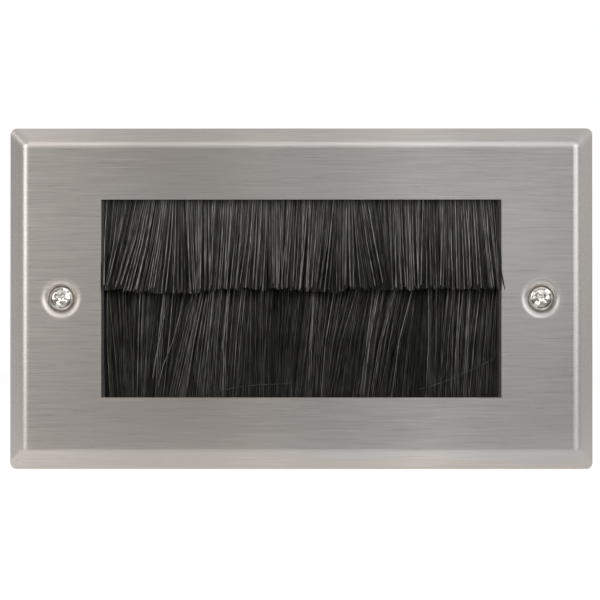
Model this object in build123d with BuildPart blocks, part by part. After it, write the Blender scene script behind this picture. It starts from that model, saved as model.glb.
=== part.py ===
from build123d import *
import math
import os

os.makedirs("parts", exist_ok=True)

# Frame: millimetres, X to the right, Y into the wall, Z up; the wall plane is y = 0

# Faceplate, pressed from one sheet
plate_width = 146.5
plate_height = 85.7
plate_depth = 4.0
sheet = 1.0
rim_lip = 1.2
bevel_width = 3.85
corner_radius = 1.6
bend_radius = 3.6
aperture_width = 100.4
aperture_height = 49.7
aperture_edge_break = 0.15

# Dimpled screw holes, countersunk at 90 degrees
fixing_centres = 120.6
dimple_radius = 4.2
dimple_lip_radius = 2.0
dimple_hole_radius = 2.0

# Fixing screws, raised countersunk head with a slot and a cross recess
screw_radius = 1.75
screw_neck_radius = 1.5
screw_length = 25.0
screw_point = 0.6
head_radius = 3.1
head_rim = 0.35
head_dome = 1.0
seat_clearance = 0.03
slot_width = 1.25
slot_depth = 0.75
cross_span = 3.7
cross_width = 1.0
cross_depth = 1.5
cross_tip_span = 1.6
slot_angle_left = 64.0
slot_angle_right = 49.0

# Brush strips: folded channel, core wire and two layers of tufts to each row;
# the sways are counted in gaps between tips, and the turns and phases are in radians, per tuft
channel_width = 3.4
channel_height = 4.8
channel_sheet = 0.4
channel_bend_radius = 0.9
wire_radius = 0.5
filament_clearance = 0.03
root_stand_out = 0.6
upper_free_length = 23.6
lower_free_length = 30.6
tuft_pitch = 1.3
tuft_tip_width = 0.72
tuft_parting = 2.0
tip_raggedness = 0.9
ragged_turn = 2.4
long_sway = 2.4
long_sway_turn = 0.2
short_sway = 0.5
short_sway_turn = 0.6
upper_sway_phase = 0.6
lower_sway_phase = 2.9
layer_gap = 0.06
layer_fan = 2.0
brush_side_gap = 0.1
upper_tip_proud = 0.5
row_gap = 0.4

# Moulded carrier behind the opening
rail_setback = 0.3
post_show = 0.6
carrier_front_wall = 1.0
carrier_rear_wall = 1.2
carrier_outer_wall = 1.5
carrier_post = 2.2
carrier_corner_radius = 1.5
carrier_edge_break = 0.5
channel_clearance = 0.05
snap_lip_height = 0.5
snap_lip_reach = 0.35
ear_margin = 0.7
ear_thickness = 2.0
ear_drop = 1.2
ear_corner_cut = 2.4

# Weld studs and flanged nuts that clamp the carrier
stud_radius = 1.5
stud_end_stand_out = 1.0
stud_clearance = 0.15
flange_radius = 3.5
flange_thickness = 0.6
flange_clearance = 0.7
nut_across_flats = 5.5
nut_thickness = 2.9
thread_clearance = 0.02

# Planes and positions that follow from the sizes above
front_y = -plate_depth
sheet_rear_y = front_y + sheet
trough_front_y = sheet_rear_y + carrier_front_wall
trough_width = channel_width + 2 * channel_clearance
strip_y = trough_front_y + trough_width / 2
carrier_rear_y = trough_front_y + trough_width + carrier_rear_wall
rail_z = aperture_height / 2 + rail_setback
mouth_z = rail_z + snap_lip_height
trough_end_z = mouth_z + channel_height + channel_clearance
carrier_half_height = trough_end_z + carrier_outer_wall
opening_half_width = aperture_width / 2 - post_show
carrier_half_width = opening_half_width + carrier_post
strip_length = 2 * (opening_half_width - channel_clearance)
brush_width = strip_length - 2 * brush_side_gap
ear_rear_y = sheet_rear_y + ear_thickness
ear_half_height = flange_radius + ear_margin
ear_offset = flange_radius + flange_clearance
ear_length = ear_offset + ear_half_height
stud_x = carrier_half_width + ear_offset
stud_z = aperture_height / 2 - ear_drop
stud_spots = [(-stud_x, -stud_z), (stud_x, -stud_z), (-stud_x, stud_z), (stud_x, stud_z)]


# Outside of the tray: sloping band with rounded bends and mitres, trimmed to a straight lip
bevel_rise = plate_depth - rim_lip
skirt = rim_lip * bevel_width / bevel_rise
with BuildPart() as outer_form:
    with BuildSketch(Plane.XZ):
        Rectangle(plate_width + 2 * skirt, plate_height + 2 * skirt)
    with BuildSketch(Plane.XZ.offset(plate_depth)):
        Rectangle(plate_width - 2 * bevel_width, plate_height - 2 * bevel_width)
    loft(ruled=True)
    front_edges, mitre_edges, rear_edges = outer_form.edges().group_by(Axis.Y)
    fillet(front_edges + mitre_edges, radius=bend_radius)
    with BuildSketch(Plane.XZ):
        RectangleRounded(plate_width, plate_height, corner_radius)
    extrude(amount=plate_depth, mode=Mode.INTERSECT)

# Inside of the tray, one sheet thickness in from the outside and square to each surface
bevel_angle = math.atan2(bevel_rise, bevel_width)
inner_lip = rim_lip - sheet * math.tan(math.pi / 4 - bevel_angle / 2)
inner_inset = bevel_width + sheet * math.tan(bevel_angle / 2)
rear_width = plate_width - 2 * sheet
rear_height = plate_height - 2 * sheet
with BuildPart() as inner_form:
    with BuildSketch(Plane.XZ):
        Rectangle(rear_width, rear_height)
    extrude(amount=inner_lip)
    with BuildSketch(Plane.XZ.offset(inner_lip)):
        Rectangle(rear_width, rear_height)
    with BuildSketch(Plane.XZ.offset(plate_depth - sheet)):
        Rectangle(plate_width - 2 * inner_inset, plate_height - 2 * inner_inset)
    loft(ruled=True)

# Dimple section: a cone at 45 degrees with a rolled lip, and the same sheet thickness under it
cone_drop = dimple_radius - dimple_hole_radius
under_radius = dimple_radius + sheet * (math.sqrt(2) - 1)
under_drop = sheet + under_radius - dimple_hole_radius
dimple_reach = under_radius + dimple_lip_radius + sheet

with BuildPart() as faceplate:
    add(outer_form.part)
    add(inner_form.part, mode=Mode.SUBTRACT)
    with BuildSketch(Plane.XZ.offset(plate_depth)):
        Rectangle(aperture_width, aperture_height)
    extrude(amount=-2 * sheet, mode=Mode.SUBTRACT)
    aperture_edges = faceplate.faces().sort_by(Axis.Y)[0].inner_wires().edges()
    chamfer(aperture_edges, length=aperture_edge_break)
    for side in (-1, 1):
        centre = (side * fixing_centres / 2, front_y, 0)
        with BuildSketch(Plane(centre)):
            with BuildLine():
                Polyline(
                    (0, sheet / 2),
                    (dimple_reach, sheet / 2),
                    (dimple_reach, sheet),
                    (under_radius, sheet),
                    (dimple_hole_radius, under_drop),
                    (0, under_drop),
                    close=True,
                )
            make_face()
        revolve(axis=Axis(centre, (0, 1, 0)))
        with BuildSketch(Plane(centre)):
            with BuildLine():
                Polyline(
                    (0, -sheet),
                    (dimple_reach, -sheet),
                    (dimple_reach, 0),
                    (dimple_radius, 0),
                    (dimple_hole_radius, cone_drop),
                    (dimple_hole_radius, under_drop + sheet),
                    (0, under_drop + sheet),
                    close=True,
                )
            hollow = make_face()
            lip_bend = hollow.vertices().sort_by_distance((dimple_radius, 0))[0]
            fillet(lip_bend, radius=dimple_lip_radius)
        revolve(axis=Axis(centre, (0, 1, 0)), mode=Mode.SUBTRACT)


# Screw section from the dome to the point; the thread starts behind the wall plane
def fixing_screw(side, slot_angle):
    rim_y = front_y + dimple_radius - head_radius - seat_clearance * math.sqrt(2)
    dome_y = rim_y - head_rim - head_dome
    neck_y = rim_y + head_radius - screw_neck_radius
    point_y = rim_y + screw_length
    centre = (side * fixing_centres / 2, 0, 0)
    with BuildPart() as screw:
        with BuildSketch(Plane(centre)):
            with BuildLine():
                dome = TangentArc((0, dome_y), (head_radius, rim_y - head_rim), tangent=(1, 0))
                Polyline(
                    dome @ 1,
                    (head_radius, rim_y),
                    (screw_neck_radius, neck_y),
                    (screw_neck_radius, 0),
                    (screw_radius, 0),
                    (screw_radius, point_y - screw_point),
                    (screw_radius - screw_point, point_y),
                    (0, point_y),
                    dome @ 0,
                )
            make_face()
        revolve(axis=Axis(centre, (0, 1, 0)))
        head_plane = Plane((centre[0], dome_y, 0), x_dir=(1, 0, 0), z_dir=(0, -1, 0))
        with BuildSketch(head_plane):
            Rectangle(3 * head_radius, slot_width, rotation=slot_angle)
        extrude(amount=-slot_depth, mode=Mode.SUBTRACT)
        for quarter in (0, 1):
            turn = math.radians(slot_angle) + quarter * math.pi / 2
            along = (math.cos(turn), 0, math.sin(turn))
            across = (-math.sin(turn), 0, math.cos(turn))
            with BuildSketch(Plane(head_plane.origin, x_dir=along, z_dir=across)):
                with BuildLine():
                    Polyline(
                        (-cross_span / 2, 0),
                        (cross_span / 2, 0),
                        (cross_tip_span / 2, cross_depth),
                        (-cross_tip_span / 2, cross_depth),
                        close=True,
                    )
                make_face()
            extrude(amount=cross_width / 2, both=True, mode=Mode.SUBTRACT)
    return screw.part


fixing_screw_left = fixing_screw(-1, slot_angle_left)
fixing_screw_right = fixing_screw(1, slot_angle_right)

# Upper channel, folded from sheet, with its mouth towards the opening
channel_top_z = mouth_z + channel_height
with BuildPart() as upper_brush_channel:
    with BuildSketch(Plane.YZ):
        with BuildLine():
            front_leg = strip_y - channel_width / 2
            rear_leg = strip_y + channel_width / 2
            Polyline(
                (front_leg, mouth_z),
                (front_leg, channel_top_z),
                (rear_leg, channel_top_z),
                (rear_leg, mouth_z),
                (rear_leg - channel_sheet, mouth_z),
                (rear_leg - channel_sheet, channel_top_z - channel_sheet),
                (front_leg + channel_sheet, channel_top_z - channel_sheet),
                (front_leg + channel_sheet, mouth_z),
                close=True,
            )
        section = make_face()
        folds = section.vertices().sort_by(Axis.Y)
        fillet(folds[4:6], radius=channel_bend_radius - channel_sheet)
        fillet(folds[6:8], radius=channel_bend_radius)
    extrude(amount=strip_length / 2, both=True)

# Lower channel, the same piece turned over
with BuildPart() as lower_brush_channel:
    mirror(upper_brush_channel.part, about=Plane.XY)

# Filaments are folded round a wire at the closed end of each channel
bundle = channel_width - 2 * channel_sheet - 2 * filament_clearance
fold_z = channel_top_z - channel_sheet - filament_clearance - bundle / 2

with BuildPart() as upper_core_wire:
    with BuildSketch(Plane.YZ):
        with Locations((strip_y, fold_z)):
            Circle(wire_radius)
    extrude(amount=strip_length / 2, both=True)

with BuildPart() as lower_core_wire:
    mirror(upper_core_wire.part, about=Plane.XY)


# Outline of one layer of tufts: parted by narrow slits, swaying in waves, with ragged tips.
# The sway of neighbouring tips differs by less than the gap between them, so tufts never cross.
# The second layer is one tuft fewer, so that each of its tufts stands behind a slit of the first.
def tuft_outline(free_length, phase, fewer):
    count = int(brush_width / tuft_pitch) - fewer
    tip_gap = tuft_pitch - tuft_tip_width
    left = -count * tuft_pitch / 2
    corners = [(left, 0)]
    for i in range(count):
        place = i + 0.5 + fewer / 2
        taper_to_ends = math.sin(math.pi * place / (count + fewer))
        sway = long_sway * math.sin(long_sway_turn * place + phase)
        sway += short_sway * math.sin(short_sway_turn * place + 2 * phase)
        ragged = (1 + math.sin(ragged_turn * i + 3 * phase + fewer)) / 2
        tip_x = left + (i + 0.5) * tuft_pitch + tip_gap * taper_to_ends * sway
        tip_y = free_length - tip_raggedness * ragged
        corners.append((tip_x - tuft_tip_width / 2, tip_y))
        corners.append((tip_x + tuft_tip_width / 2, tip_y))
        corners.append((left + (i + 1) * tuft_pitch, tuft_parting))
    corners[-1] = (-left, 0)
    return corners


# One row of bristles: a folded root round the wire and two layers of tufts that fan apart.
# A lean towards the room is negative; end is 1 for the upper row and -1 for the lower row.
def bristle_row(end, free_length, front_lean, back_lean, phase):
    layer = (bundle - layer_gap) / 2
    root_z = mouth_z - root_stand_out
    with BuildPart() as row:
        with BuildSketch(Plane.YZ):
            with Locations((strip_y, end * (fold_z + root_z) / 2)):
                Rectangle(bundle, fold_z - root_z)
            with Locations((strip_y, end * fold_z)):
                Circle(bundle / 2)
                Circle(wire_radius + filament_clearance, mode=Mode.SUBTRACT)
        extrude(amount=strip_length / 2, both=True)
        for fewer, lean in ((0, front_lean), (1, back_lean)):
            layer_y = strip_y + (fewer - 0.5) * (layer + layer_gap)
            across = (0, end * math.cos(lean), math.sin(lean))
            with BuildSketch(Plane((0, layer_y, end * mouth_z), x_dir=(1, 0, 0), z_dir=across)):
                with BuildLine():
                    Polyline(*tuft_outline(free_length, phase, fewer), close=True)
                make_face()
        extrude(amount=layer / 2, both=True, clean=False)
    return row.part


# The upper tips stand a little proud of the faceplate; the lower row leans just clear behind them
fan = math.radians(layer_fan)
upper_front_lean = math.atan2(
    front_y - upper_tip_proud - strip_y + bundle / 2, upper_free_length
)
upper_back_lean = upper_front_lean + fan
meeting_drop = 2 * mouth_z - lower_free_length
upper_back_y = strip_y + bundle / 2 + meeting_drop * math.tan(upper_back_lean)
lower_front_lean = math.atan2(
    upper_back_y + row_gap - strip_y + bundle / 2, lower_free_length
)
lower_back_lean = lower_front_lean + fan
upper_bristles = bristle_row(
    1, upper_free_length, upper_front_lean, upper_back_lean, upper_sway_phase
)
lower_bristles = bristle_row(
    -1, lower_free_length, lower_front_lean, lower_back_lean, lower_sway_phase
)

# Carrier: a frame with a trough along each rail, a snap lip behind each trough and four ears
with BuildPart() as brush_carrier:
    with BuildSketch(Plane.XZ.offset(-sheet_rear_y)):
        RectangleRounded(2 * carrier_half_width, 2 * carrier_half_height, carrier_corner_radius)
        Rectangle(2 * opening_half_width, 2 * rail_z, mode=Mode.SUBTRACT)
    extrude(amount=sheet_rear_y - carrier_rear_y)
    with BuildSketch(Plane.XZ.offset(-sheet_rear_y)) as ears:
        for end in (-1, 1):
            with Locations((0, end * stud_z)):
                Rectangle(2 * (carrier_half_width + ear_length), 2 * ear_half_height)
        ear_ends = ears.vertices().group_by(Axis.X)
        chamfer(ear_ends[0] + ear_ends[-1], length=ear_corner_cut)
        Rectangle(2 * opening_half_width, 2 * carrier_half_height, mode=Mode.SUBTRACT)
    extrude(amount=-ear_thickness)
    chamfer(brush_carrier.faces().sort_by(Axis.Y)[-1].edges(), length=carrier_edge_break)
    with BuildSketch(Plane.YZ):
        for end in (-1, 1):
            with Locations((strip_y, end * (mouth_z + trough_end_z) / 2)):
                Rectangle(trough_width, trough_end_z - mouth_z)
            with Locations((strip_y - snap_lip_reach / 2, end * (rail_z + mouth_z) / 2)):
                Rectangle(trough_width - snap_lip_reach, 3 * snap_lip_height)
    extrude(amount=opening_half_width, both=True, mode=Mode.SUBTRACT)
    with BuildSketch(Plane.XZ.offset(-sheet_rear_y)):
        with Locations(*stud_spots):
            Circle(stud_radius + stud_clearance)
    extrude(amount=-ear_thickness, mode=Mode.SUBTRACT)

# Studs stand on the back of the sheet, through the ears
stud_end_y = ear_rear_y + nut_thickness + stud_end_stand_out
with BuildPart() as weld_studs:
    with BuildSketch(Plane.XZ.offset(-sheet_rear_y)):
        with Locations(*stud_spots):
            Circle(stud_radius)
    extrude(amount=sheet_rear_y - stud_end_y)

with BuildPart() as stud_nuts:
    with BuildSketch(Plane.XZ.offset(-ear_rear_y)):
        with Locations(*stud_spots):
            Circle(flange_radius)
    extrude(amount=-flange_thickness)
    with BuildSketch(Plane.XZ.offset(-ear_rear_y)):
        with Locations(*stud_spots):
            RegularPolygon(nut_across_flats / 2, 6, major_radius=False)
    extrude(amount=-nut_thickness)
    with BuildSketch(Plane.XZ.offset(-ear_rear_y)):
        with Locations(*stud_spots):
            Circle(stud_radius + thread_clearance)
    extrude(amount=-nut_thickness, mode=Mode.SUBTRACT)

faceplate.part.label = "faceplate"
export_step(faceplate.part, "parts/faceplate.step")
fixing_screw_left.label = "fixing_screw_left"
export_step(fixing_screw_left, "parts/fixing_screw_left.step")
fixing_screw_right.label = "fixing_screw_right"
export_step(fixing_screw_right, "parts/fixing_screw_right.step")
upper_brush_channel.part.label = "upper_brush_channel"
export_step(upper_brush_channel.part, "parts/upper_brush_channel.step")
lower_brush_channel.part.label = "lower_brush_channel"
export_step(lower_brush_channel.part, "parts/lower_brush_channel.step")
upper_core_wire.part.label = "upper_core_wire"
export_step(upper_core_wire.part, "parts/upper_core_wire.step")
lower_core_wire.part.label = "lower_core_wire"
export_step(lower_core_wire.part, "parts/lower_core_wire.step")
upper_bristles.label = "upper_bristles"
export_step(upper_bristles, "parts/upper_bristles.step")
lower_bristles.label = "lower_bristles"
export_step(lower_bristles, "parts/lower_bristles.step")
brush_carrier.part.label = "brush_carrier"
export_step(brush_carrier.part, "parts/brush_carrier.step")
weld_studs.part.label = "weld_studs"
export_step(weld_studs.part, "parts/weld_studs.step")
stud_nuts.part.label = "stud_nuts"
export_step(stud_nuts.part, "parts/stud_nuts.step")
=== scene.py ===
import math
import random

import bmesh
import bpy
from mathutils import Matrix, Vector


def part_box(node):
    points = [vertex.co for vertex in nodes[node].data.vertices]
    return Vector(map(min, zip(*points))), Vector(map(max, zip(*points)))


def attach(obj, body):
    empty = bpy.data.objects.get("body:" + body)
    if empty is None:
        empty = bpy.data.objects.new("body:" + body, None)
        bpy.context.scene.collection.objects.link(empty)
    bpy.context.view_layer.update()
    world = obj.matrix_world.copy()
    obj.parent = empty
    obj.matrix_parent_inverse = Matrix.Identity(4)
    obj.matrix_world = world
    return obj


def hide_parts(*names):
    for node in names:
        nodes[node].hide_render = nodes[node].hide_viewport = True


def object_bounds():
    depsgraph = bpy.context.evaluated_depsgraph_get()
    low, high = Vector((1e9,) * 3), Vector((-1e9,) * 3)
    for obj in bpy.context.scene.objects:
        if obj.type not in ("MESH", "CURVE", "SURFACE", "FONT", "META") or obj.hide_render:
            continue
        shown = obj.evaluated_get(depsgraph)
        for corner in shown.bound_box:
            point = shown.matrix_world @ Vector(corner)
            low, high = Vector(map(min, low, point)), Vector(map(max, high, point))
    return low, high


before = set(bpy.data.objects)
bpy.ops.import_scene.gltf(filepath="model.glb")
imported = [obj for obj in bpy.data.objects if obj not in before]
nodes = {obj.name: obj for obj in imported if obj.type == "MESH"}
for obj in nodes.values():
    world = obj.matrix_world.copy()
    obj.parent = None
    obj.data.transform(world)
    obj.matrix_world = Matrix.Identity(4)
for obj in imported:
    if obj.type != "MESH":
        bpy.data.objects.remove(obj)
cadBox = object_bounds()
scene = bpy.context.scene
mm = 0.001
print("frame loaded:", len(nodes), "nodes")


# camera at the photograph's angle: nearly square on, long lens
cameraSet = {
    "distance": 900 * mm,
    "lens": 214.24,
    "sensor": 36.0,
    "tilt": -0.71,  # degrees
    "turn": -0.40,
    "aimX": -0.313 * mm,
    "aimZ": -0.337 * mm,
}


def placeCamera():
    data = bpy.data.cameras.new("photoCamera")
    data.lens = cameraSet["lens"]
    data.sensor_width = cameraSet["sensor"]
    camera = bpy.data.objects.new("photoCamera", data)
    scene.collection.objects.link(camera)
    tilt = Matrix.Rotation(math.radians(cameraSet["tilt"]), 4, "X")
    turn = Matrix.Rotation(math.radians(cameraSet["turn"]), 4, "Z")
    stand = Matrix.Translation((cameraSet["aimX"], -cameraSet["distance"], cameraSet["aimZ"]))
    lookAlongY = Matrix.Rotation(math.pi / 2, 4, "X")
    camera.matrix_world = (tilt @ turn).inverted() @ stand @ lookAlongY
    scene.camera = camera


placeCamera()
scene.view_settings.view_transform = "Standard"
print("camera placed")


# small helpers for node trees; what feeds a socket is another socket or a plain value
noiseRange = (0.3, 0.7)  # where most of a noise lies


def feed(tree, value, socket):
    if isinstance(value, bpy.types.NodeSocket):
        tree.links.new(value, socket)
    else:
        socket.default_value = value


def feedAll(tree, node, sockets):
    for name, value in sockets.items():
        feed(tree, value, node.inputs[name])


def addNode(tree, kind, sockets=None, **values):
    node = tree.nodes.new(kind)
    for name, value in values.items():
        setattr(node, name, value)
    feedAll(tree, node, sockets or {})
    return node


def addMath(tree, operation, *values, clamp=False):
    node = addNode(tree, "ShaderNodeMath", operation=operation, use_clamp=clamp)
    for value, socket in zip(values, node.inputs):
        feed(tree, value, socket)
    return node.outputs[0]


def stretched(tree, vector, factors):
    node = addNode(tree, "ShaderNodeVectorMath", operation="MULTIPLY")
    for value, socket in zip((vector, factors), node.inputs):
        feed(tree, value, socket)
    return node.outputs["Vector"]


def splitAxes(tree, vector):
    apart = addNode(tree, "ShaderNodeSeparateXYZ", {"Vector": vector})
    return [apart.outputs[axis] for axis in "XYZ"]


def addNoise(tree, vector, scale, detail, roughness=0.5):
    sockets = {"Vector": vector, "Scale": scale, "Detail": detail, "Roughness": roughness}
    return addNode(tree, "ShaderNodeTexNoise", sockets).outputs["Fac"]


def spread(tree, value, low, high, fromLow=0.0, fromHigh=1.0):
    sockets = {"Value": value, "From Min": fromLow, "From Max": fromHigh, "To Min": low, "To Max": high}
    return addNode(tree, "ShaderNodeMapRange", sockets).outputs["Result"]


def mixTones(tree, mask, dark, light):
    sockets = {"Factor": mask, "A": (*dark, 1), "B": (*light, 1)}
    return addNode(tree, "ShaderNodeMix", sockets, data_type="RGBA").outputs["Result"]


def addBump(tree, shader, height, strength, depth):
    bump = addNode(tree, "ShaderNodeBump", {"Height": height, "Strength": strength, "Distance": depth})
    tree.links.new(bump.outputs["Normal"], shader.inputs["Normal"])


def newMaterial(name):
    material = bpy.data.materials.new(name)
    material.use_nodes = True
    tree = material.node_tree
    tree.nodes.clear()
    shader = addNode(tree, "ShaderNodeBsdfPrincipled")
    addNode(tree, "ShaderNodeOutputMaterial", {"Surface": shader.outputs["BSDF"]})
    place = addNode(tree, "ShaderNodeTexCoord")
    return material, tree, shader, place.outputs["Object"]


def startGroup(name, values=()):
    group = bpy.data.node_groups.new(name, "ShaderNodeTree")
    group.interface.new_socket(name="Vector", in_out="INPUT", socket_type="NodeSocketVector")
    for value in values:
        group.interface.new_socket(name=value, in_out="INPUT", socket_type="NodeSocketFloat")
    return group, addNode(group, "NodeGroupInput").outputs


def endGroup(group, results):
    for name in results:
        group.interface.new_socket(name=name, in_out="OUTPUT", socket_type="NodeSocketFloat")
    addNode(group, "NodeGroupOutput", results)
    return group


# group: streaks that run along x, as a belt sander leaves them, on a slow drift of tone that carries a
# painted sheen
grainSet = {
    "streak": (1.0, 2.0, 0.6),  # a noise's scale, detail and roughness
    "scratch": (1.0, 2.0, 0.7), "scratchSize": (1.7, 1.6, 1.6),
    "drift": (1.0, 1.0), "driftSize": (30.0, 14.0, 14.0), "clouds": (0.21, 0.71),
    # painted sheen: slow waves and a lean along x, and a fall towards top and bottom
    "waves": ((37.5, -0.15, 0.435), (155.0, 0.0, -0.07)),  # rate, start and height
    "tilt": -7.5, "sheenFall": (-150.0, 2.6),
    "tint": (24.0, 1.0), "tintLean": -5.0, "sunk": 230.0,
}


def makeGrainGroup():
    group, given = startGroup("beltGrain", ("Along", "Across"))
    place = given["Vector"]
    x, y, z = splitAxes(group, place)
    sizes = {"X": given["Along"], "Y": given["Across"], "Z": given["Across"]}
    long = stretched(group, place, addNode(group, "ShaderNodeCombineXYZ", sizes).outputs["Vector"])
    streak = addNoise(group, long, *grainSet["streak"])
    scratch = addNoise(group, stretched(group, long, grainSet["scratchSize"]), *grainSet["scratch"])
    clouds = addNoise(group, stretched(group, place, grainSet["driftSize"]), *grainSet["drift"])
    drift = spread(group, clouds, *grainSet["clouds"])
    # painted sheen on the random drift: waves and a lean along x, then darker towards top and bottom
    for rate, start, height in grainSet["waves"]:
        wave = addMath(group, "SINE", addMath(group, "MULTIPLY_ADD", x, rate, start))
        drift = addMath(group, "MULTIPLY_ADD", wave, height, drift)
    drift = addMath(group, "MULTIPLY_ADD", x, grainSet["tilt"], drift)
    sheenFall = addMath(group, "MULTIPLY_ADD", z, *grainSet["sheenFall"])  # darker towards top and bottom
    drift = addMath(group, "MULTIPLY_ADD", z, sheenFall, drift)
    tint = addNoise(group, place, *grainSet["tint"])
    tint = addMath(group, "MULTIPLY_ADD", x, grainSet["tintLean"], tint)  # cooler towards the right
    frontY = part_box("faceplate")[0].y
    sunk = addMath(group, "MULTIPLY_ADD", y, grainSet["sunk"], -grainSet["sunk"] * frontY)
    tint = addMath(group, "ADD", tint, sunk)  # warmer where the sheet bends away from its front
    return endGroup(group, {"Streak": streak, "Scratch": scratch, "DriftAndSheen": drift, "Tint": tint})


# group: cloudy tone and fine pits, for platings and mouldings
mottleSet = {"cloud": (3.0, 0.55), "pits": (2.0, 0.7)}  # a noise's detail and roughness


def makeMottleGroup():
    group, given = startGroup("surfaceMottle", ("Cloud Scale", "Pit Scale"))
    cloud = addNoise(group, given["Vector"], given["Cloud Scale"], *mottleSet["cloud"])
    pits = addNoise(group, given["Vector"], given["Pit Scale"], *mottleSet["pits"])
    return endGroup(group, {"Cloud": cloud, "Pits": pits})


# group: distance from the nearer screw axis, and rings round it
ringSet = {
    "axis": 60.3 * mm, "pitch": 0.5 * mm,
    "groove": (2.3 * mm, 0.13 * mm), "edge": (2.99 * mm, 0.14 * mm),  # radius and half width
}


def makeRingGroup():
    group, given = startGroup("turnedRings")
    x, y, z = splitAxes(group, given["Vector"])
    across = addMath(group, "SUBTRACT", addMath(group, "ABSOLUTE", x), ringSet["axis"])
    flat = addNode(group, "ShaderNodeCombineXYZ", {"X": across, "Z": z})
    length = addNode(group, "ShaderNodeVectorMath", operation="LENGTH")
    group.links.new(flat.outputs["Vector"], length.inputs[0])
    radius = length.outputs["Value"]
    ring = addMath(group, "SINE", addMath(group, "MULTIPLY", radius, 2 * math.pi / ringSet["pitch"]))
    beyond = addMath(group, "GREATER_THAN", radius, ringSet["groove"][0])  # smooth inside the groove
    return endGroup(group, {
        "Radius": radius,
        "Ring": addMath(group, "MULTIPLY", ring, beyond),
        "PaintedGroove": addMath(group, "COMPARE", radius, *ringSet["groove"]),
        "PaintedEdgeHighlight": addMath(group, "COMPARE", radius, *ringSet["edge"]),
    })


beltGrain = makeGrainGroup()
surfaceMottle = makeMottleGroup()
turnedRings = makeRingGroup()


def placeMottle(tree, vector, given):
    sockets = {"Vector": vector, "Cloud Scale": given["cloud"], "Pit Scale": given["pits"]}
    return addNode(tree, "ShaderNodeGroup", sockets, node_tree=surfaceMottle).outputs


def placeRings(tree, vector):
    return addNode(tree, "ShaderNodeGroup", {"Vector": vector}, node_tree=turnedRings).outputs


# brushed stainless sheet
steelSet = {
    "dark": (0.309, 0.298, 0.284),
    "light": (0.532, 0.513, 0.492),
    "cool": (0.985, 1.0, 1.02),
    "warm": (1.045, 0.995, 0.965),
    "roughness": (0.27, 0.33),
    "along": 54.0,  # streaks per metre
    "across": 3500.0,
    "shares": {"Streak": 0.29, "Scratch": 0.19, "DriftAndSheen": 0.36},
    "toneRange": (0.22, 0.62),
    "toneCurve": 1.5,
    "bump": 0.05,
    "bumpDepth": 0.03 * mm,
    # painted highlight: a paler ring on each dimple's lip, stronger on its upper half; the ring is also
    # made rougher
    "lip": (4.45 * mm, 1.0 * mm),  # radius and half width of the paler ring round each dimple
    "lipPaintedHighlight": (0.08, 0.30), "lipFall": (-2.5 * mm, 3.0 * mm), "lipRoughness": 0.13,
}


def makeStainless():
    material, tree, shader, place = newMaterial("brushedStainless")
    sockets = {"Vector": place, "Along": steelSet["along"], "Across": steelSet["across"]}
    grain = addNode(tree, "ShaderNodeGroup", sockets, node_tree=beltGrain).outputs
    weave = 0.0
    # the drift carries the painted sheen
    for name, share in steelSet["shares"].items():  # streaks ride on the slow drift
        weave = addMath(tree, "MULTIPLY_ADD", grain[name], share, weave)
    weave = spread(tree, weave, 0.0, 1.0, *steelSet["toneRange"])
    tone = addMath(tree, "POWER", weave, steelSet["toneCurve"])  # a few streaks shine out
    steel = mixTones(tree, tone, steelSet["dark"], steelSet["light"])
    warmth = spread(tree, grain["Tint"], 0.0, 1.0, *noiseRange)
    hue = mixTones(tree, warmth, steelSet["cool"], steelSet["warm"])
    sockets = {"Factor": 1.0, "A": steel, "B": hue}
    tinted = addNode(tree, "ShaderNodeMix", sockets, data_type="RGBA", blend_type="MULTIPLY")
    lipRadius, lipWidth = steelSet["lip"]
    radius = placeRings(tree, place)["Radius"]
    away = addMath(tree, "ABSOLUTE", addMath(tree, "SUBTRACT", radius, lipRadius))
    lip = spread(tree, away, 1.0, 0.0, 0.0, lipWidth)
    x, y, z = splitAxes(tree, place)
    # painted highlight on the lip, stronger on the upper half
    lift = spread(tree, z, *steelSet["lipPaintedHighlight"], *steelSet["lipFall"])  # mostly on the upper half
    paintedHighlight = addMath(tree, "MULTIPLY_ADD", lip, lift, 1.0)
    lifted = addNode(tree, "ShaderNodeVectorMath", {"Scale": paintedHighlight}, operation="SCALE")
    tree.links.new(tinted.outputs["Result"], lifted.inputs[0])
    rough = spread(tree, grain["Scratch"], *steelSet["roughness"], *noiseRange)
    feedAll(tree, shader, {
        "Base Color": lifted.outputs["Vector"],
        "Roughness": addMath(tree, "MULTIPLY_ADD", lip, steelSet["lipRoughness"], rough),
        "Metallic": 1.0,
    })
    addBump(tree, shader, grain["Scratch"], steelSet["bump"], steelSet["bumpDepth"])
    return material


# platings, galvanised sheet, wire and the black moulding, each from the shared mottle
finishSet = {
    "zincPlate": {
        "dark": (0.50, 0.52, 0.545), "light": (0.70, 0.71, 0.72), "roughness": (0.22, 0.36),
        "metallic": 1.0, "cloud": 300.0, "pits": 4200.0, "bump": 0.06, "depth": 0.015 * mm,
    },
    "galvanisedSheet": {
        "dark": (0.36, 0.375, 0.385), "light": (0.60, 0.615, 0.62), "roughness": (0.36, 0.55),
        "metallic": 1.0, "cloud": 520.0, "pits": 2600.0, "bump": 0.10, "depth": 0.02 * mm,
    },
    "coreWire": {
        "dark": (0.30, 0.30, 0.30), "light": (0.46, 0.455, 0.45), "roughness": (0.28, 0.42),
        "metallic": 1.0, "cloud": 260.0, "pits": 3800.0, "bump": 0.08, "depth": 0.015 * mm,
    },
    "mouldedBlack": {
        "dark": (0.012, 0.012, 0.0125), "light": (0.026, 0.026, 0.027), "roughness": (0.42, 0.58),
        "metallic": 0.0, "cloud": 240.0, "pits": 2300.0, "bump": 0.22, "depth": 0.05 * mm,
    },
}
cloudRange = (0.32, 0.68)


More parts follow.
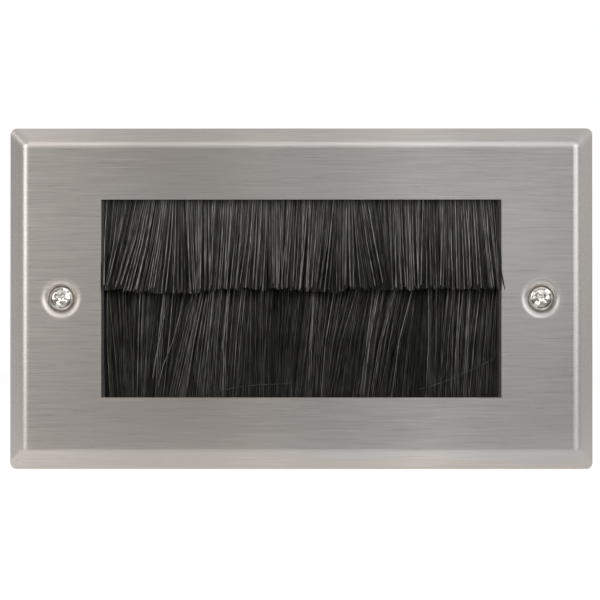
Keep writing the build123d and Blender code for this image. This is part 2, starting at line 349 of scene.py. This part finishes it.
def makeFinish(name):
    given = finishSet[name]
    material, tree, shader, place = newMaterial(name)
    mottle = placeMottle(tree, place, given)
    tone = spread(tree, mottle["Cloud"], 0.0, 1.0, *cloudRange)
    feedAll(tree, shader, {
        "Base Color": mixTones(tree, tone, given["dark"], given["light"]),
        "Roughness": spread(tree, mottle["Pits"], *given["roughness"], *noiseRange),
        "Metallic": given["metallic"],
    })
    addBump(tree, shader, mottle["Pits"], given["bump"], given["depth"])
    return material


# nickel screws: the mesh says each face's tone, with painted reflection on the slot floors and painted
# shade on the recess walls, how cloudy it is, and which faces are turned
nickelSet = {
    "dark": (0.034, 0.029, 0.022), "light": (0.955, 0.915, 0.845), "roughness": (0.10, 0.18),
    "cloud": 620.0, "pits": 5200.0, "bump": 0.05, "depth": 0.01 * mm,
    # on the turned rings: painted shade of a groove, and a painted highlight round the head's edge
    "shares": {"Ring": 0.16, "PaintedGroove": -0.22, "PaintedEdgeHighlight": 0.30},
}


def makeNickel():
    material, tree, shader, place = newMaterial("nickelPlate")
    tone, turned, clouded = (
        addNode(tree, "ShaderNodeAttribute", attribute_name=name).outputs["Fac"]
        for name in ("paintedLightTone", "turned", "clouded")
    )
    mottle = placeMottle(tree, place, nickelSet)
    rings = placeRings(tree, place)
    for name, share in nickelSet["shares"].items():
        onHead = addMath(tree, "MULTIPLY", rings[name], turned)
        tone = addMath(tree, "MULTIPLY_ADD", onHead, share, tone)
    cloud = spread(tree, mottle["Cloud"], -0.5, 0.5, *noiseRange)
    tone = addMath(tree, "MULTIPLY_ADD", cloud, clouded, tone, clamp=True)
    feedAll(tree, shader, {
        "Base Color": mixTones(tree, tone, nickelSet["dark"], nickelSet["light"]),
        "Roughness": spread(tree, mottle["Pits"], *nickelSet["roughness"], *noiseRange),
        "Metallic": 1.0,
    })
    addBump(tree, shader, mottle["Pits"], nickelSet["bump"], nickelSet["depth"])
    return material


# nylon filaments; the shade of each one is in the mesh
nylonSet = {
    "dark": (0.003, 0.003, 0.003), "light": (0.500, 0.488, 0.442), "roughness": (0.30, 0.44),
    "specular": 0.10, "cloud": 1400.0, "pits": 3000.0, "pieces": (0.4, 1.5), "pieceRange": (0.35, 0.65),
    "stretch": {"upper": 0.07, "lower": 0.15},
}


def makeNylon(row):
    material, tree, shader, place = newMaterial("bristleNylon" + row.title())
    shade = addNode(tree, "ShaderNodeAttribute", attribute_name="shade").outputs["Fac"]
    mottle = placeMottle(tree, stretched(tree, place, (1.0, 1.0, nylonSet["stretch"][row])), nylonSet)
    pieces = spread(tree, mottle["Cloud"], *nylonSet["pieces"], *nylonSet["pieceRange"])
    tone = addMath(tree, "MULTIPLY", shade, pieces)  # each filament catches the light in places
    feedAll(tree, shader, {
        "Base Color": mixTones(tree, tone, nylonSet["dark"], nylonSet["light"]),
        "Roughness": spread(tree, mottle["Cloud"], *nylonSet["roughness"], *noiseRange),
        "Specular IOR Level": nylonSet["specular"],
    })
    return material


stainless = makeStainless()
nickel = makeNickel()
zinc = makeFinish("zincPlate")
galvanised = makeFinish("galvanisedSheet")
wireSteel = makeFinish("coreWire")
moulded = makeFinish("mouldedBlack")
nylon = {row: makeNylon(row) for row in ("upper", "lower")}


def dressPiece(piece, material):
    piece.data.materials.clear()
    piece.data.materials.append(material)


dressPiece(nodes["faceplate"], stainless)
dressPiece(nodes["brush_carrier"], moulded)
for row in ("upper", "lower"):
    dressPiece(nodes[row + "_brush_channel"], galvanised)
    dressPiece(nodes[row + "_core_wire"], wireSteel)
print("materials made")


# two rows of filaments; lengths in mm, and tables by place along x
rowSet = {
    "upper": {
        "node": "upper_bristles", "channel": "upper_brush_channel", "wire": "upper_core_wire", "end": 1,
        "seed": 11, "hairpins": 2850, "radius": 0.092, "length": 23.4, "ragged": 1.5,
        "forward": -2.565, "fan": 0.415, "backLean": 0.15, "rearCut": -0.8,
        "clumpWidth": (0.25, 0.9), "clumpLean": 0.30, "clumpDepth": 0.2, "clumpLength": 0.18,
        "pull": 0.15, "stray": 0.2, "bow": 0.12,
        # painted light along a leg: lifts the shade the plate's edge casts on the roots
        "dull": 0.15, "fine": 0.9, "paintedLightGains": (2.4, 1.55, 1.2),  # at the root, half way and at the tip
        "litTone": (0.10, 0.45), "litGap": (0.36, 0.74), "litDepth": -0.6,
        "litPaintedLightGains": (1.3, 1.05, 1.25), "litSize": 1.4,
        "lit": (  # chance that a filament at the front catches the light
            (-49.5, 0.2), (-45.0, 0.4), (-40.0, 0.9), (13.5, 0.9), (15.5, 0.1), (21.5, 0.05),
            (23.0, 0.9), (49.5, 0.9),
        ),
        "longer": (  # added length
            (-49.5, 0.0), (-40.0, 0.0), (-36.5, 0.8), (-30.0, 1.2), (-25.0, 0.8), (-22.5, 0.0),
            (0.0, 0.0), (2.5, 0.5), (9.5, 0.5), (12.0, 0.0), (49.5, 0.0),
        ),
        "lean": (  # sideways shift of a tip
            (-49.5, -0.8), (-47.5, -2.0), (-43.3, -5.0), (-39.3, -5.6), (-36.2, -4.2), (-32.7, -2.4),
            (-30.0, 0.9), (-28.2, 1.2), (-24.4, 0.0), (-20.2, -1.2), (-15.6, -2.0), (-12.6, -2.6),
            (-10.1, -1.2), (-7.6, 0.0), (-4.4, -0.7), (-0.6, -1.2), (3.9, -1.5), (8.4, -2.4),
            (9.8, -0.3), (11.9, -0.2), (13.5, 2.0), (14.5, 3.9), (17.5, 3.4), (20.7, 2.3),
            (22.5, 0.5), (23.7, 0.7), (27.0, 0.8), (30.5, -0.2), (32.0, 0.7), (35.5, 0.0),
            (39.5, 0.5), (42.8, 1.0), (44.3, 1.7), (46.8, 2.3), (49.5, 1.2),
        ),
    },
    "lower": {
        "node": "lower_bristles", "channel": "lower_brush_channel", "wire": "lower_core_wire", "end": -1,
        "seed": 23, "hairpins": 2850, "radius": 0.088, "length": 30.2, "ragged": 0.8,
        "forward": 1.0, "fan": 0.535, "backLean": 0.15, "rearCut": 0.0,
        "clumpWidth": (0.3, 1.0), "clumpLean": 0.45, "clumpDepth": 0.25, "clumpLength": 0.3,
        "pull": 0.1, "stray": 0.45, "bow": 0.28,
        # painted light along a leg: lifts the shade the upper row casts on the tips
        "dull": 0.054, "fine": 1.7, "paintedLightGains": (1.6, 1.5, 3.1),
        "litTone": (0.03, 0.28), "litGap": (0.28, 0.68), "litDepth": -0.5,
        "litPaintedLightGains": (0.75, 1.2, 1.8), "litSize": 1.3,
        "lit": (
            (-49.5, 0.2), (-42.0, 0.35), (-39.0, 0.95), (-28.0, 0.95), (-21.0, 0.9), (-14.0, 0.5),
            (-10.0, 0.12), (-4.0, 0.12), (1.0, 0.6), (12.0, 0.5), (15.5, 0.95), (19.5, 0.95),
            (21.5, 0.15), (31.0, 0.15), (36.0, 0.7), (40.0, 0.75), (45.0, 0.45), (49.5, 0.6),
        ),
        "longer": ((-49.5, 0.0), (49.5, 0.0)),
        "lean": (
            (-49.5, -0.6), (-45.7, -1.4), (-42.0, 0.3), (-39.0, 2.0), (-36.2, 2.0), (-32.7, 6.8),
            (-29.5, 5.5), (-25.7, 3.8), (-22.7, 2.5), (-19.4, 2.0), (-15.6, 3.0), (-11.9, 0.0),
            (-8.1, 0.2), (-4.4, 2.5), (-0.6, 3.0), (3.2, 2.5), (7.2, 6.4), (10.7, 5.0),
            (14.5, 4.5), (18.2, 6.0), (22.0, 5.5), (24.5, 3.5), (28.3, 2.0), (32.0, 1.5),
            (35.8, 2.0), (39.5, 1.5), (43.3, 2.5), (47.1, 2.0), (49.5, 0.8),
        ),
    },
}


# what both rows share: each filament is folded in half round the core wire
foldSet = {
    "steps": (0.0, 0.5, 1.0),  # places along a leg
    "turns": (0.0, 0.5, 1.0),  # places along the half turn over the wire
    "inset": 0.1, "reach": (0.62, 1.13),  # how far a fold stands off the wire
    "litOffset": (1.05, 1.13), "dullOffset": (0.05, 0.98),  # how far in front of the wire a leg starts
    "backOffset": (0.05, 1.08),  # how far behind it, as start and span
    "backStep": 0.618034, "backJitter": 0.04,  # golden ratio, so that they fill the depth evenly
    "halfMouth": 1.27, "wander": 0.08, "curl": 1.2,
    "edge": 4.0,  # clumps straighten up over this distance from the ends
    "even": {"lean": 0.0, "depth": 0.0, "stray": 0.04, "ragged": 0.4},  # legs behind shut out the light
    "glow": (0.65, 0.4), "base": 0.1, "clumpTone": (0.25, 1.5), "rear": (0.02, 0.12),
    "sides": 4, "merge": 1e-7,
}


def between(table, x):
    for (x0, v0), (x1, v1) in zip(table, table[1:]):
        if x <= x1:
            share = min(max((x - x0) / (x1 - x0), 0.0), 1.0)
            return v0 + (v1 - v0) * share * share * (3 - 2 * share)
    return table[-1][1]


def makeClumps(given, halfWidth, rng):
    clumps, x = [], -halfWidth
    while x < halfWidth:
        width = rng.uniform(*given["clumpWidth"])
        clumps.append({
            "centre": x + width / 2,
            "lean": rng.gauss(0.0, given["clumpLean"]),
            "depth": rng.gauss(0.0, given["clumpDepth"]),
            "length": rng.gauss(0.0, given["clumpLength"]),
            "tone": rng.random(),
            "stray": given["stray"],
            "ragged": given["ragged"],
        })
        x += width
    return clumps


def findStrip(given):
    channelLow, channelHigh = (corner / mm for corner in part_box(given["channel"]))
    wireLow, wireHigh = (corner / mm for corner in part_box(given["wire"]))
    return {
        "wire": (wireLow + wireHigh) / 2,
        "mouthZ": channelLow.z if given["end"] > 0 else channelHigh.z,
        "halfWidth": channelHigh.x - foldSet["inset"],
    }


def legPoints(given, strip, x, offset, clump, leanShare, rng):
    halfWidth = strip["halfWidth"]
    shift = between(given["lean"], x) * leanShare
    shift += clump["lean"] * min((halfWidth - abs(x)) / foldSet["edge"], 1.0)
    shift += given["pull"] * (clump["centre"] - x) + rng.gauss(0.0, clump["stray"])
    length = given["length"] + between(given["longer"], x) + clump["length"]
    length -= clump["ragged"] * rng.random() ** 2
    travel = given["forward"] + given["fan"] * offset / foldSet["halfMouth"]
    travel += clump["depth"] + rng.gauss(0.0, foldSet["wander"])
    bow = rng.gauss(0.0, given["bow"] * clump["stray"] / given["stray"])
    points = []
    for t in foldSet["steps"]:
        place = x + shift * t ** foldSet["curl"] + bow * math.sin(math.pi * t)
        place = min(max(place, -halfWidth), halfWidth)
        depth = strip["wire"].y + offset + travel * t
        points.append((place, depth, strip["mouthZ"] - given["end"] * length * t))
    return points


def foldPoints(given, strip, x, reach):
    wire, points = strip["wire"], []
    for turn in foldSet["turns"]:
        angle = math.pi * turn
        height = given["end"] * reach * math.sin(angle)
        points.append((x, wire.y - reach * math.cos(angle), wire.z + height))
    return points


def filamentCurve(name, radius):
    curve = bpy.data.curves.new(name, "CURVE")
    curve.dimensions = "3D"
    curve.bevel_depth = radius * mm
    curve.bevel_resolution = 0  # a section with four sides
    curve.use_fill_caps = True
    return curve


def addFilament(curve, route):
    spline = curve.splines.new("POLY")
    spline.points.add(len(route) - 1)
    spline.points.foreach_set("co", [n for x, y, z in route for n in (x * mm, y * mm, z * mm, 1.0)])
    return spline


def bristleRow(given):
    rng = random.Random(given["seed"])
    strip = findStrip(given)
    halfWidth = strip["halfWidth"]
    curve = filamentCurve(given["node"] + "Line", given["radius"])
    shades = []
    clumps = makeClumps(given, halfWidth, rng)
    nextLit = -halfWidth
    glowBase, glowShare = foldSet["glow"]
    clumpShare, clumpCurve = foldSet["clumpTone"]
    backStart, backSpan = foldSet["backOffset"]
    rearBase, rearSpan = foldSet["rear"]
    for i in range(given["hairpins"]):
        x = -halfWidth + 2 * halfWidth * (i + rng.random()) / given["hairpins"]
        reach = rng.uniform(*foldSet["reach"])
        clump = min(clumps, key=lambda c: abs(c["centre"] - x))
        chance = between(given["lit"], x)
        lit = x > nextLit and rng.random() < chance
        if x > nextLit:
            nextLit = x + rng.uniform(*given["litGap"])
        offset = rng.uniform(*foldSet["litOffset" if lit else "dullOffset"])
        lead = {**clump, "depth": given["litDepth"]} if lit else clump
        front = legPoints(given, strip, x, -offset, lead, 1.0, rng)
        turn = (foldSet["backStep"] * i + foldSet["backJitter"] * rng.random()) % 1.0
        even = {"centre": x, "length": given["rearCut"], **foldSet["even"]}
        back = legPoints(given, strip, x, backStart + backSpan * turn, even, given["backLean"], rng)
        fold = foldPoints(given, strip, x, reach)
        spline = addFilament(curve, front[::-1] + fold + back)
        if lit:  # thicker towards its tip
            sizes = [given["litSize"]] * 2 + [1.0] * (len(front) - 2 + len(fold) + len(back))
            spline.points.foreach_set("radius", sizes)
        fleck = foldSet["base"] + clumpShare * clump["tone"] ** clumpCurve
        fleck += given["fine"] * rng.random() ** 2
        dull = given["dull"] * (glowBase + glowShare * chance) * fleck
        # painted light along each leg, in place of the shade in the opening
        paintedLightGains = given["litPaintedLightGains"] if lit else given["paintedLightGains"]
        tone = rng.uniform(*given["litTone"]) if lit else dull
        rear = rearBase + rearSpan * rng.random() ** 2
        shades.append([tone * gain for gain in paintedLightGains[::-1]] + [dull] * len(fold) + [rear] * len(back))
    return curve, shades


def curveToPiece(name, curve, shades):
    holder = bpy.data.objects.new(name + "Curve", curve)
    scene.collection.objects.link(holder)
    depsgraph = bpy.context.evaluated_depsgraph_get()
    mesh = bpy.data.meshes.new_from_object(holder.evaluated_get(depsgraph))
    bpy.data.objects.remove(holder)
    tones = []
    for spline in reversed(shades):  # the caps come first, last filament first
        tones += [spline[-1], spline[0]]
    tones += [tone for spline in shades for tone in spline]
    shade = mesh.attributes.new("shade", "FLOAT", "POINT")
    shade.data.foreach_set("value", [tone for tone in tones for side in range(foldSet["sides"])])
    bm = bmesh.new()
    bm.from_mesh(mesh)
    bmesh.ops.remove_doubles(bm, verts=bm.verts, dist=foldSet["merge"])
    bmesh.ops.recalc_face_normals(bm, faces=bm.faces)
    bm.to_mesh(mesh)
    bm.free()
    piece = bpy.data.objects.new(name, mesh)
    scene.collection.objects.link(piece)
    return piece


def finishPiece(piece, material, slotName, *replaced):
    dressPiece(piece, material)
    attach(piece, "root")
    if replaced:
        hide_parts(*replaced)
    triangles = sum(len(polygon.vertices) - 2 for polygon in piece.data.polygons)
    print(piece.name, "has", triangles, "triangles")


for rowName, given in rowSet.items():
    row = curveToPiece(rowName + "Filaments", *bristleRow(given))
    finishPiece(row, nylon[rowName], "bristle_nylon", given["node"])


# loose filaments, in mm: two flick out over the right edge of the opening, four lie on the lower row
straySet = {
    "radius": 0.085,
    "paths": (
        {"shade": 0.03, "points": (
            (48.7, -1.3, 25.5), (49.3, -3.1, 15.0), (50.0, -4.25, 8.5), (50.6, -4.45, 5.0),
            (51.1, -4.5, 2.3),
        )},
        {"shade": 0.06, "points": (
            (48.9, -1.2, 25.5), (49.5, -3.2, 14.0), (50.05, -4.3, 7.5), (50.5, -4.42, 4.8),
            (50.75, -4.46, 3.4),
        )},
        {"shade": 0.16, "points": (
            (29.6, -1.9, -22.9), (34.5, -2.3, -21.4), (40.0, -2.6, -19.2), (44.8, -2.5, -17.0),
            (48.2, -2.2, -15.3),
        )},
        {"shade": 0.14, "points": (
            (-21.9, -1.5, -23.7), (-16.5, -1.9, -22.4), (-11.0, -2.0, -21.7), (-6.0, -1.9, -21.5),
            (-2.0, -1.6, -21.4),
        )},
        {"shade": 0.5, "points": (
            (-33.4, -0.6, 4.2), (-34.1, -1.2, -3.0), (-35.4, -1.5, -9.0), (-36.6, -1.7, -15.0),
            (-37.4, -1.7, -20.0),
        )},
        {"shade": 0.4, "points": (
            (-29.0, -0.6, 2.0), (-30.8, -1.2, -5.0), (-32.4, -1.5, -11.0), (-34.8, -1.7, -17.0),
            (-36.2, -1.7, -23.0),
        )},
    ),
}


def strayFilaments():
    curve = filamentCurve("strayLine", straySet["radius"])
    shades = []
    for path in straySet["paths"]:
        addFilament(curve, path["points"])
        shades.append([path["shade"]] * len(path["points"]))
    return curve, shades


strays = curveToPiece("strayFilaments", *strayFilaments())
finishPiece(strays, nylon["lower"], "bristle_nylon")


# solid pieces: a copy of a node to work on, and the finished mesh
solidSet = {"merge": 1e-6, "sharp": math.radians(28)}


def solidCopy(name):
    bm = bmesh.new()
    bm.from_mesh(nodes[name].data)
    bm.transform(nodes[name].matrix_world)
    bmesh.ops.remove_doubles(bm, verts=bm.verts, dist=solidSet["merge"])
    return bm


def newPiece(name, bm):
    bmesh.ops.recalc_face_normals(bm, faces=bm.faces)
    mesh = bpy.data.meshes.new(name)
    bm.to_mesh(mesh)
    bm.free()
    mesh.polygons.foreach_set("use_smooth", [True] * len(mesh.polygons))
    mesh.set_sharp_from_angle(angle=solidSet["sharp"])
    piece = bpy.data.objects.new(name, mesh)
    scene.collection.objects.link(piece)
    return piece


# threads, each one ridge wound round a core
def addThread(bm, centre, given, fromY, toY):
    length = toY - fromY
    middle = Matrix.Translation((centre.x, (fromY + toY) / 2, centre.z))
    bmesh.ops.create_cone(
        bm, cap_ends=True, segments=given["sides"], radius1=given["core"], radius2=given["core"],
        depth=length, matrix=middle @ Matrix.Rotation(math.pi / 2, 4, "X"),
    )
    reach = (given["crest"] - given["root"]) / 1.5  # a triangle in a circle of this radius
    wide = given["base"] / (math.sqrt(3) * reach)
    start = Matrix((
        (0, 1, 0, centre.x + given["crest"] - reach),
        (wide, 0, 0, fromY + given["base"] / 2),
        (0, 0, -1, centre.z),
        (0, 0, 0, 1),
    ))
    ring = bmesh.ops.create_circle(bm, cap_ends=True, segments=3, radius=reach, matrix=start)["verts"]
    faces = {face for vert in ring for face in vert.link_faces}
    edges = {edge for face in faces for edge in face.edges}
    turns = (length - given["base"]) / given["pitch"]
    count = int(turns * given["steps"])
    bmesh.ops.spin(
        bm, geom=[*ring, *edges, *faces], cent=(centre.x, 0, centre.z), axis=(0, 1, 0),
        dvec=(0, given["pitch"] / given["steps"], 0), angle=2 * math.pi * count / given["steps"],
        steps=count,
    )


# fixing screws: head as the solid, cut at the neck, with a thread behind it
screwSet = {
    "neck": -0.3 * mm, "end": 0.05 * mm, "pitch": 0.6 * mm,
    "core": 1.42 * mm, "root": 1.36 * mm, "crest": 1.74 * mm, "base": 0.5 * mm, "sides": 24, "steps": 20,
}


# tone painted on the faces of a head: painted reflection on the slot floor, painted shade on the recess
# walls, a duller outer ring
headSet = {
    "slotFloor": 1.3, "crossFloor": 0.85, "wall": 0.15, "core": 0.75, "inner": 0.42, "outer": 0.38,
    "rim": 0.95, "shank": 0.5, "clouds": (0.45, 0.12),  # clouds on the head and on the shank
    "slotDepth": (0.6 * mm, 0.9 * mm), "crossDepth": 1.6 * mm,
    "coreRadius": 1.1 * mm, "innerRadius": 2.3 * mm, "rimRadius": 3.0 * mm,
    "level": -0.98, "steep": -0.6,  # of a face's normal along y
}


def headZone(depth, radius, facing):
    slotTop, slotFloor = headSet["slotDepth"]
    if depth > headSet["crossDepth"]:
        return "shank"
    if radius > headSet["rimRadius"] and facing > headSet["steep"]:
        return "rim"
    if facing < headSet["level"] and slotTop < depth < slotFloor:
        return "slotFloor"
    if facing < headSet["level"] and depth > slotFloor:
        return "crossFloor"
    if facing > headSet["steep"]:
        return "core" if radius < headSet["coreRadius"] else "wall"
    return "inner" if radius < headSet["innerRadius"] else "outer"


def markHead(mesh, domeY, axis):
    marks = {"paintedLightTone": [], "turned": [], "clouded": []}
    for polygon in mesh.polygons:
        centre = polygon.center
        radius = math.hypot(centre.x - axis.x, centre.z - axis.z)
        zone = headZone(centre.y - domeY, radius, polygon.normal.y)
        marks["paintedLightTone"].append(headSet[zone])
        marks["turned"].append(1.0 if zone in ("inner", "outer") else 0.0)
        marks["clouded"].append(headSet["clouds"][zone == "shank"])
    for name, values in marks.items():
        mesh.attributes.new(name, "FLOAT", "FACE").data.foreach_set("value", values)


def threadedScrew(name):
    low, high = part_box(name)
    bm = solidCopy(name)
    parts = [*bm.verts, *bm.edges, *bm.faces]
    neck = (0, screwSet["neck"], 0)
    bmesh.ops.bisect_plane(bm, geom=parts, plane_co=neck, plane_no=(0, 1, 0), clear_outer=True)
    bmesh.ops.holes_fill(bm, edges=[edge for edge in bm.edges if edge.is_boundary])
    axis = (low + high) / 2
    addThread(bm, axis, screwSet, screwSet["neck"], high.y - screwSet["end"])
    piece = newPiece("threadedScrew" + name.split("_")[-1].title(), bm)
    markHead(piece.data, low.y, axis)
    return piece


for name in ("fixing_screw_left", "fixing_screw_right"):
    finishPiece(threadedScrew(name), nickel, "nickel_plate", name)


# nuts and studs: the solids with their rear edges broken
chamferSet = {
    "stud_nuts": {"name": "chamferedNuts", "offset": 0.28 * mm},
    "weld_studs": {"name": "chamferedStuds", "offset": 0.3 * mm},
}
rimSet = {"flat": math.radians(1), "sharp": math.radians(45), "slack": 0.001 * mm, "segments": 2}


def chamferedEnds(node, given):
    bm = solidCopy(node)
    bmesh.ops.dissolve_limit(bm, angle_limit=rimSet["flat"], verts=bm.verts, edges=bm.edges)
    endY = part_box(node)[1].y
    rims = [
        edge for edge in bm.edges
        if all(abs(vert.co.y - endY) < rimSet["slack"] for vert in edge.verts)
        and edge.calc_face_angle(0.0) > rimSet["sharp"]
    ]
    bmesh.ops.bevel(
        bm, geom=rims, offset=given["offset"], offset_type="OFFSET", segments=rimSet["segments"],
        profile=0.5, affect="EDGES", material=-1,
    )
    bmesh.ops.triangulate(bm, faces=bm.faces)
    return newPiece(given["name"], bm)


for node, given in chamferSet.items():
    finishPiece(chamferedEnds(node, given), zinc, "zinc_plate", node)


# pale floor that the plate stands on
floorSet = {
    "half": 3.0, "grid": 8, "drop": 0.2 * mm,
    "pale": (0.56, 0.56, 0.555), "clouded": 0.97, "cloud": 3.0, "pits": 60.0,
    "roughness": 0.9, "specular": 0.1,
    "lift": 0.72,  # added where the camera sees it
    # painted glow: where metal sees the floor, it shines brighter near the plate and lifts the shade
    # there
    "mirror": (0.14, 1.08), "near": (-80 * mm, -24 * mm),  # and where metal does, by distance in front
}


def makeFloorFinish():
    material, tree, shader, place = newMaterial("paleFloor")
    mottle = placeMottle(tree, place, floorSet)
    path = addNode(tree, "ShaderNodeLightPath").outputs
    x, y, z = splitAxes(tree, place)
    near = spread(tree, y, *floorSet["mirror"], *floorSet["near"])
    mirrored = addMath(tree, "MULTIPLY", path["Is Glossy Ray"], near)
    lifted = addMath(tree, "MULTIPLY_ADD", path["Is Camera Ray"], floorSet["lift"], mirrored)
    clouded = [floorSet["clouded"] * c for c in floorSet["pale"]]
    feedAll(tree, shader, {
        "Base Color": mixTones(tree, mottle["Cloud"], clouded, floorSet["pale"]),
        "Roughness": floorSet["roughness"],
        "Specular IOR Level": floorSet["specular"],
        "Emission Color": (1, 1, 1, 1),
        "Emission Strength": lifted,
    })
    return material


def makeFloor():
    bm = bmesh.new()
    cells = floorSet["grid"]
    bmesh.ops.create_grid(bm, x_segments=cells, y_segments=cells, size=floorSet["half"])
    bmesh.ops.translate(bm, verts=bm.verts, vec=(0, 0, cadBox[0].z - floorSet["drop"]))
    mesh = bpy.data.meshes.new("studioFloor")
    bm.to_mesh(mesh)
    bm.free()
    mesh.materials.append(makeFloorFinish())
    floor = bpy.data.objects.new("studioFloor", mesh)
    scene.collection.objects.link(floor)


makeFloor()


# world: white behind the object, a graded room for diffuse light and another for what metal sees
worldSet = {
    "diffuse": 0.42, "diffuseSlope": (0.0, -0.30, -0.05),
    "mirrored": 1.0, "mirroredSlope": (0.33, 0.30, 0.275),
}


def gradedRoom(tree, facing, level, slope):
    turn = addNode(tree, "ShaderNodeVectorMath", operation="DOT_PRODUCT")
    for value, socket in zip((facing, slope), turn.inputs):
        feed(tree, value, socket)
    return addMath(tree, "ADD", turn.outputs["Value"], level)


def makeWorld():
    world = bpy.data.worlds.new("paleStudio")
    scene.world = world
    world.use_nodes = True
    tree = world.node_tree
    tree.nodes.clear()
    facing = addNode(tree, "ShaderNodeTexCoord").outputs["Generated"]
    diffuse = gradedRoom(tree, facing, worldSet["diffuse"], worldSet["diffuseSlope"])
    mirrored = gradedRoom(tree, facing, worldSet["mirrored"], worldSet["mirroredSlope"])
    path = addNode(tree, "ShaderNodeLightPath").outputs
    inMetal = addMath(tree, "MAXIMUM", path["Is Glossy Ray"], path["Is Transmission Ray"])
    sockets = {"Factor": inMetal, "A": diffuse, "B": mirrored}
    room = addNode(tree, "ShaderNodeMix", sockets, data_type="FLOAT").outputs["Result"]
    sockets = {"Factor": path["Is Camera Ray"], "A": room, "B": 1.0}
    seen = addNode(tree, "ShaderNodeMix", sockets, data_type="FLOAT").outputs["Result"]
    shader = addNode(tree, "ShaderNodeBackground", {"Color": (1, 1, 1, 1), "Strength": seen})
    addNode(tree, "ShaderNodeOutputWorld", {"Surface": shader.outputs["Background"]})


makeWorld()


# softboxes: both sides and overhead in front, one fill behind; angles in degrees, sizes in metres
boxSet = {
    "leftBox": {"azimuth": -42, "elevation": 15, "distance": 1.25, "size": (0.60, 0.78), "radiance": 2.5},
    "rightBox": {"azimuth": 31, "elevation": 15, "distance": 1.25, "size": (0.66, 0.78), "radiance": 2.3},
    "topBox": {"azimuth": 0, "elevation": 36, "distance": 1.25, "size": (0.9, 0.75), "radiance": 0.9},
    "backBox": {"azimuth": 160, "elevation": 45, "distance": 1.5, "size": (0.8, 0.6), "radiance": 1.2},
}


def placeSoftbox(name, given):
    light = bpy.data.lights.new(name, "AREA")
    light.shape = "RECTANGLE"
    light.size, light.size_y = given["size"]
    light.energy = given["radiance"] * math.pi * light.size * light.size_y
    lamp = bpy.data.objects.new(name, light)
    scene.collection.objects.link(lamp)
    azimuth, elevation = math.radians(given["azimuth"]), math.radians(given["elevation"])
    level = math.cos(elevation)
    away = Vector((math.sin(azimuth) * level, -math.cos(azimuth) * level, math.sin(elevation)))
    facing = away.to_track_quat("Z", "Y").to_matrix().to_4x4()
    lamp.matrix_world = Matrix.Translation(away * given["distance"]) @ facing
    lamp.visible_camera = False


for name, given in boxSet.items():
    placeSoftbox(name, given)
print("studio lit")
